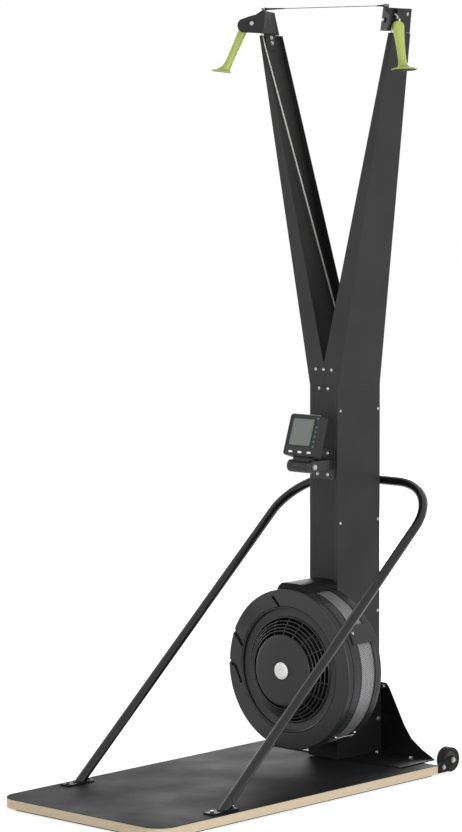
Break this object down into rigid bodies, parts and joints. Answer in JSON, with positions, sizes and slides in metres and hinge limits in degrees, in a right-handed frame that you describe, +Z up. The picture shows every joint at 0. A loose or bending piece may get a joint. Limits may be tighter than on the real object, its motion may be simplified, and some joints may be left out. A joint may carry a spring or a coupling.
{
  "type": "ski ergometer",
  "caption": "Standing ski training machine: platform, forked mast, hand pulls on cords over toed-out pulleys, caged air fan and tilting monitor.",
  "frame": {"origin": "on the floor, below the middle of the whole machine's box", "axes": "+Z up the mast, +Y from the user towards the mast, +X to the user's right"},
  "size_m": [0.7336, 1.22, 2.147],
  "materials": {
    "plywood": "bare plywood edge, sealed",
    "black_laminate": "satin black laminate, fine grip texture",
    "rubber": "matt black rubber",
    "dark_paint": "charcoal powder coat on aluminium sheet",
    "black_steel": "black powder coat",
    "black_plastic": "moulded black plastic, fine texture",
    "grey_plastic": "moulded dark grey plastic",
    "pale_plastic": "moulded off-white plastic",
    "handle_plastic": "yellow-green moulded plastic",
    "silver_mesh": "perforated bright sheet",
    "steel": "zinc plated",
    "cord": "braided off-white cord",
    "display_glass": "clear window over a grey-green display"
  },
  "bodies": {
    "frame": {"platform_board": "plywood", "platform_top": "black_laminate", "runner_front": "rubber", "runner_left": "rubber", "runner_right": "rubber", "base_bracket": "black_steel", "mast_shell_left": "dark_paint", "mast_shell_right": "dark_paint", "front_cover": "dark_paint", "rear_cover": "dark_paint", "yoke_plate": "black_steel", "head_bracket_left": "dark_paint", "head_bracket_right": "dark_paint", "handle_cord_left": "cord", "handle_cord_right": "cord", "arm_cord_left": "cord", "arm_cord_right": "cord", "tie_cord": "cord", "bearing_front": "black_steel", "bearing_rear": "black_steel", "cage_rear": "black_plastic", "cage_band": "silver_mesh", "cage_front": "black_plastic", "cage_strap": "black_plastic", "cage_clip": "black_plastic", "centre_cover": "grey_plastic", "hub_cap": "pale_plastic", "monitor_bracket": "black_plastic", "hinge_bolt": "steel", "hoop_tube": "black_steel", "hoop_foot_left": "black_steel", "hoop_foot_right": "black_steel", "hoop_clamp": "black_steel", "wheel_fork_left": "black_steel", "wheel_fork_right": "black_steel"},
    "handle_left": {"handle_left": "handle_plastic"},
    "handle_right": {"handle_right": "handle_plastic"},
    "head_pulley_left": {"head_pulley_left": "grey_plastic"},
    "head_pulley_right": {"head_pulley_right": "grey_plastic"},
    "guide_pulley_left": {"guide_pulley_left": "grey_plastic"},
    "guide_pulley_right": {"guide_pulley_right": "grey_plastic"},
    "cord_drum_left": {"cord_drum_left": "grey_plastic"},
    "cord_drum_right": {"cord_drum_right": "grey_plastic"},
    "fan": {"fan_wheel": "black_plastic", "fan_shaft": "steel"},
    "damper_ring": {"damper_ring": "black_plastic"},
    "monitor": {"monitor_back": "black_plastic", "monitor_front": "black_plastic", "display": "display_glass"},
    "button_side_1": {"button_side_1": "grey_plastic"},
    "button_side_2": {"button_side_2": "grey_plastic"},
    "button_side_3": {"button_side_3": "grey_plastic"},
    "button_side_4": {"button_side_4": "grey_plastic"},
    "button_side_5": {"button_side_5": "grey_plastic"},
    "button_side_6": {"button_side_6": "grey_plastic"},
    "button_low_1": {"button_low_1": "pale_plastic"},
    "button_low_2": {"button_low_2": "pale_plastic"},
    "button_low_3": {"button_low_3": "pale_plastic"},
    "transport_wheel_left": {"transport_wheel_left": "rubber"},
    "transport_wheel_right": {"transport_wheel_right": "rubber"}
  },
  "joints": [
    {"name": "handle_left_pull", "type": "slide", "parent": "frame", "child": "handle_left", "axis": [0, 0, -1], "range_m": [0, 1.3], "stiffness_N_per_m": 8, "springref_m": -0.6, "deforming": ["handle_cord_left"]},
    {"name": "handle_right_pull", "type": "slide", "parent": "frame", "child": "handle_right", "axis": [0, 0, -1], "range_m": [0, 1.3], "stiffness_N_per_m": 8, "springref_m": -0.6, "deforming": ["handle_cord_right"]},
    {"name": "head_pulley_left_turn", "type": "hinge", "parent": "frame", "child": "head_pulley_left", "pos_m": [-0.2621, 0.35821, 2.102], "axis": [-0.5592, 0.829, 0], "range_deg": [-4660, 5]},
    {"name": "head_pulley_right_turn", "type": "hinge", "parent": "frame", "child": "head_pulley_right", "pos_m": [0.2621, 0.35821, 2.102], "axis": [0.5592, 0.829, 0], "range_deg": [-5, 4660]},
    {"name": "guide_pulley_left_turn", "type": "hinge", "parent": "frame", "child": "guide_pulley_left", "pos_m": [-0.019, 0.488, 1.12], "axis": [0, 1, 0], "range_deg": [-4660, 5]},
    {"name": "guide_pulley_right_turn", "type": "hinge", "parent": "frame", "child": "guide_pulley_right", "pos_m": [0.013, 0.399, 1.12], "axis": [0, 1, 0], "range_deg": [-5, 4660]},
    {"name": "cord_drum_left_turn", "type": "hinge", "parent": "frame", "child": "cord_drum_left", "pos_m": [0, 0.488, 0.302], "axis": [0, 1, 0], "range_deg": [-5, 3045]},
    {"name": "cord_drum_right_turn", "type": "hinge", "parent": "frame", "child": "cord_drum_right", "pos_m": [0, 0.399, 0.302], "axis": [0, 1, 0], "range_deg": [-5, 3045]},
    {"name": "fan_spin", "type": "hinge", "parent": "frame", "child": "fan", "pos_m": [0, 0.3, 0.302], "axis": [0, 1, 0], "continuous": true},
    {"name": "damper_turn", "type": "hinge", "parent": "frame", "child": "damper_ring", "pos_m": [0, 0.22, 0.302], "axis": [0, 1, 0], "range_deg": [0, 60]},
    {"name": "monitor_tilt", "type": "hinge", "parent": "frame", "child": "monitor", "pos_m": [0, 0.274, 0.865], "axis": [1, 0, 0], "range_deg": [-12, 30]},
    {"name": "press_side_1", "type": "slide", "parent": "monitor", "child": "button_side_1", "axis": [0, 0.9494, -0.314], "range_m": [0, 0.001], "stiffness_N_per_m": 800},
    {"name": "press_side_2", "type": "slide", "parent": "monitor", "child": "button_side_2", "axis": [0, 0.9494, -0.314], "range_m": [0, 0.001], "stiffness_N_per_m": 800},
    {"name": "press_side_3", "type": "slide", "parent": "monitor", "child": "button_side_3", "axis": [0, 0.9494, -0.314], "range_m": [0, 0.001], "stiffness_N_per_m": 800},
    {"name": "press_side_4", "type": "slide", "parent": "monitor", "child": "button_side_4", "axis": [0, 0.9494, -0.314], "range_m": [0, 0.001], "stiffness_N_per_m": 800},
    {"name": "press_side_5", "type": "slide", "parent": "monitor", "child": "button_side_5", "axis": [0, 0.9494, -0.314], "range_m": [0, 0.001], "stiffness_N_per_m": 800},
    {"name": "press_side_6", "type": "slide", "parent": "monitor", "child": "button_side_6", "axis": [0, 0.9494, -0.314], "range_m": [0, 0.001], "stiffness_N_per_m": 800},
    {"name": "press_low_1", "type": "slide", "parent": "monitor", "child": "button_low_1", "axis": [0, 0.9494, -0.314], "range_m": [0, 0.001], "stiffness_N_per_m": 800},
    {"name": "press_low_2", "type": "slide", "parent": "monitor", "child": "button_low_2", "axis": [0, 0.9494, -0.314], "range_m": [0, 0.001], "stiffness_N_per_m": 800},
    {"name": "press_low_3", "type": "slide", "parent": "monitor", "child": "button_low_3", "axis": [0, 0.9494, -0.314], "range_m": [0, 0.001], "stiffness_N_per_m": 800},
    {"name": "wheel_left_spin", "type": "hinge", "parent": "frame", "child": "transport_wheel_left", "pos_m": [-0.2795, 0.576, 0.0365], "axis": [1, 0, 0], "continuous": true},
    {"name": "wheel_right_spin", "type": "hinge", "parent": "frame", "child": "transport_wheel_right", "pos_m": [0.2795, 0.576, 0.0365], "axis": [1, 0, 0], "continuous": true}
  ],
  "couplings": [
    {"joint": "head_pulley_left_turn", "follows": "handle_left_pull", "rad_per_m": -62.5},
    {"joint": "guide_pulley_left_turn", "follows": "handle_left_pull", "rad_per_m": -62.5},
    {"joint": "cord_drum_left_turn", "follows": "handle_left_pull", "rad_per_m": 40.816},
    {"joint": "head_pulley_right_turn", "follows": "handle_right_pull", "rad_per_m": 62.5},
    {"joint": "guide_pulley_right_turn", "follows": "handle_right_pull", "rad_per_m": 62.5},
    {"joint": "cord_drum_right_turn", "follows": "handle_right_pull", "rad_per_m": 40.816}
  ]
}
